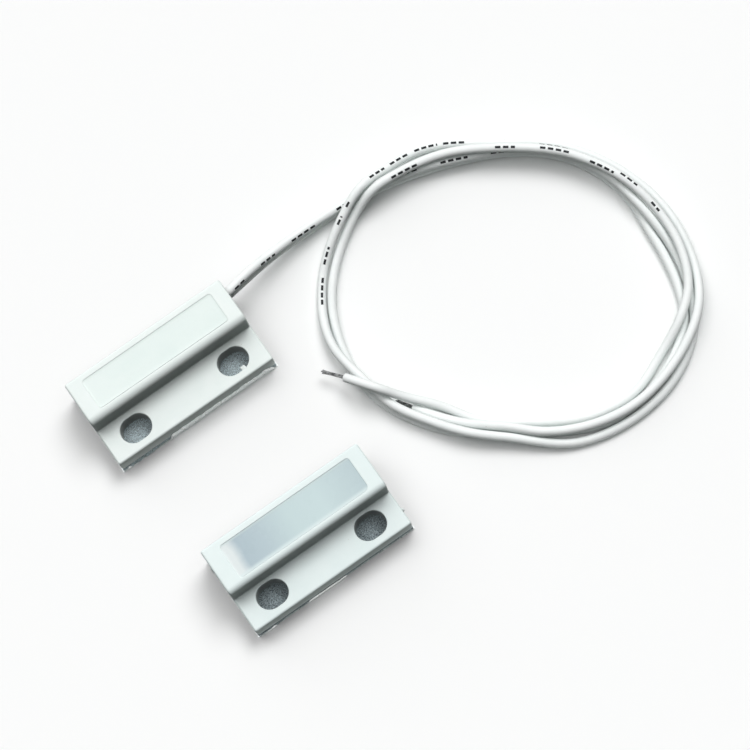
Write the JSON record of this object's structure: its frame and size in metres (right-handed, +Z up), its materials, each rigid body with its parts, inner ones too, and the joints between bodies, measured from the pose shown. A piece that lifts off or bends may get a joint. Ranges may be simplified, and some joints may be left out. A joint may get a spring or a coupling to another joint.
{
  "type": "magnetic door contact",
  "caption": "Surface-mount magnetic door contact: a potted reed switch block with two coiled leads and a separate magnet block, both flanged with slotted screw holes.",
  "frame": {"origin": "on the surface both halves lie on, below the middle of the box round the two halves, leads left out", "axes": "+X along the halves towards the end where the leads leave, +Y from the magnet half to the switch half, +Z up from the surface"},
  "size_m": [0.0902, 0.0546, 0.009],
  "materials": {
    "housing": "satin white moulded plastic",
    "switch_potting": "off-white cast resin, smooth",
    "magnet_potting": "cloudy cast resin, smooth",
    "foam": "grey adhesive foam",
    "liner": "release film, slightly crinkled",
    "magnet": "dark sintered ferrite",
    "glass": "clear, faint green",
    "reed": "bright nickel-iron",
    "solder": "soft bright solder",
    "tinned": "tinned copper",
    "insulation": "smooth white flexible insulation"
  },
  "bodies": {
    "switch_half": {"switch_housing": "housing", "switch_potting": "switch_potting", "reed_glass": "glass", "solder_joint_near": "solder", "solder_joint_far": "solder", "inner_strand_near": "tinned", "inner_strand_far": "tinned", "wire_near": "insulation", "wire_far": "insulation", "tinned_end_near": "tinned", "tinned_end_far": "tinned", "switch_foam_pad": "foam", "switch_liner": "liner"},
    "magnet_half": {"magnet_housing": "housing", "magnet_potting": "magnet_potting", "bar_magnet": "magnet", "magnet_foam_pad": "foam", "magnet_liner": "liner"},
    "near_reed": {"reed_blade_near": "reed"},
    "far_reed": {"reed_blade_far": "reed"}
  },
  "joints": [
    {"name": "magnet_half_travel", "type": "slide", "parent": "switch_half", "child": "magnet_half", "axis": [0, 1, 0], "range_m": [-0.025, 0.0167]},
    {"name": "near_reed_bend", "type": "hinge", "parent": "switch_half", "child": "near_reed", "pos_m": [0.00305, 0.0186, 0.0045], "axis": [0, -1, 0], "range_deg": [0, 0.4], "stiffness_Nm_per_rad": 0.0004},
    {"name": "far_reed_bend", "type": "hinge", "parent": "switch_half", "child": "far_reed", "pos_m": [-0.00745, 0.0186, 0.0045], "axis": [0, -1, 0], "range_deg": [0, 0.4], "stiffness_Nm_per_rad": 0.0004}
  ],
  "couplings": [
    {"joint": "far_reed_bend", "follows": "near_reed_bend", "ratio": 1}
  ]
}
